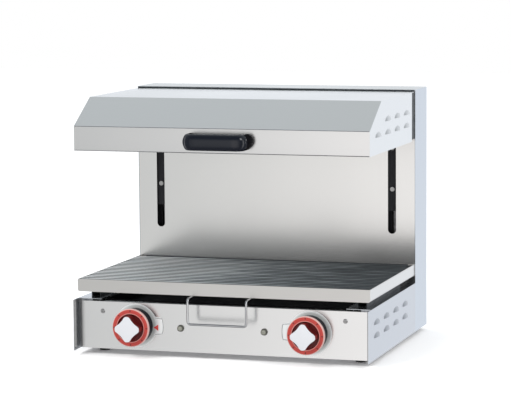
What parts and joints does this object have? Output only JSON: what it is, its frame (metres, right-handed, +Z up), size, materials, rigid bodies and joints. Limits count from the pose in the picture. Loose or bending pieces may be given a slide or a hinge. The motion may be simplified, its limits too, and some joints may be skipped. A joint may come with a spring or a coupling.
{
  "type": "cheese melter",
  "caption": "Countertop salamander grill for melting and browning: steel base with wire-handled grate, rear column, and a heated hood that slides up and down.",
  "frame": {"origin": "middle of the bounding box footprint, on the surface that the feet stand on", "axes": "+X to the right seen from the front, +Y to the back, +Z up"},
  "size_m": [0.607, 0.521, 0.508],
  "materials": {
    "steel_sheet": "brushed, satin",
    "bare_steel": "plain mill finish",
    "bright_steel": "bright",
    "reflector_steel": "bright rolled",
    "chain_steel": "oiled",
    "grate_steel": "plain, worn",
    "element_sheath": "oxidised sheath, matt",
    "black_enamel": "black enamel",
    "cast_iron": "as cast",
    "black_plastic": "glossy moulded",
    "red_plastic": "glossy moulded",
    "white_plastic": "glossy moulded",
    "rubber": "matt",
    "lamp_lens": "frosted lens",
    "mineral_wool": "loose fibre"
  },
  "bodies": {
    "cabinet": {"base_pan": "steel_sheet", "side_panel_left": "steel_sheet", "side_panel_right": "steel_sheet", "front_panel": "steel_sheet", "panel_brackets": "bare_steel", "panel_screws": "bright_steel", "drip_tray": "black_enamel", "tray_ledges": "bare_steel", "feet": "rubber", "column_cover": "steel_sheet", "slotted_panel": "steel_sheet", "back_panel": "steel_sheet", "back_screws": "bright_steel", "guide_rail_left": "bare_steel", "guide_rail_right": "bare_steel", "shaft_brackets": "bare_steel", "chain_loops": "chain_steel", "energy_regulators": "black_plastic", "dial_plates": "bright_steel", "pilot_bezels": "bright_steel", "pilot_lenses": "lamp_lens", "terminal_block": "white_plastic", "cable_gland": "black_plastic", "wire_loom": "rubber"},
    "hood": {"hood_wrap": "steel_sheet", "hood_side_left": "steel_sheet", "hood_side_right": "steel_sheet", "hood_carrier": "black_enamel", "lift_arms": "bare_steel", "slider_left": "bright_steel", "slider_right": "bright_steel", "slider_screws": "bright_steel", "hood_handle": "black_plastic", "handle_screws": "bright_steel", "reflector": "reflector_steel", "insulation": "mineral_wool", "heating_element_left": "element_sheath", "heating_element_right": "element_sheath", "element_hangers": "bare_steel", "element_guard": "bright_steel"},
    "balance_weight": {"counterweight": "cast_iron"},
    "upper_cross_shaft": {"upper_shaft": "bright_steel", "upper_wheels": "bare_steel"},
    "lower_cross_shaft": {"lower_shaft": "bright_steel", "lower_wheels": "bare_steel"},
    "left_knob": {"knob_skirt_left": "black_plastic", "knob_dial_left": "red_plastic", "knob_cap_left": "white_plastic", "knob_spindle_left": "bright_steel"},
    "right_knob": {"knob_skirt_right": "black_plastic", "knob_dial_right": "red_plastic", "knob_cap_right": "white_plastic", "knob_spindle_right": "bright_steel"},
    "grate": {"grate_frame": "steel_sheet", "grate_rods": "grate_steel", "grate_crossbars": "grate_steel", "grate_runners": "bare_steel", "grate_handle": "bright_steel"}
  },
  "joints": [
    {"name": "hood_lift", "type": "slide", "parent": "cabinet", "child": "hood", "axis": [0, 0, 1], "range_m": [-0.229, 0]},
    {"name": "weight_slide", "type": "slide", "parent": "cabinet", "child": "balance_weight", "axis": [0, 0, 1], "range_m": [0, 0.229]},
    {"name": "upper_shaft_turn", "type": "hinge", "parent": "cabinet", "child": "upper_cross_shaft", "pos_m": [0, 0.1985, 0.4778], "axis": [1, 0, 0], "range_deg": [0, 597]},
    {"name": "lower_shaft_turn", "type": "hinge", "parent": "cabinet", "child": "lower_cross_shaft", "pos_m": [0, 0.1985, 0.042], "axis": [1, 0, 0], "range_deg": [0, 597]},
    {"name": "left_knob_turn", "type": "hinge", "parent": "cabinet", "child": "left_knob", "pos_m": [-0.178, -0.2055, 0.061], "axis": [0, 1, 0], "range_deg": [0, 270]},
    {"name": "right_knob_turn", "type": "hinge", "parent": "cabinet", "child": "right_knob", "pos_m": [0.178, -0.2055, 0.061], "axis": [0, 1, 0], "range_deg": [0, 270]},
    {"name": "grate_slide", "type": "slide", "parent": "cabinet", "child": "grate", "axis": [0, -1, 0], "range_m": [0, 0.14]}
  ],
  "couplings": [
    {"joint": "weight_slide", "follows": "hood_lift", "ratio": -1},
    {"joint": "upper_shaft_turn", "follows": "hood_lift", "rad_per_m": -45.455},
    {"joint": "lower_shaft_turn", "follows": "hood_lift", "rad_per_m": -45.455}
  ]
}
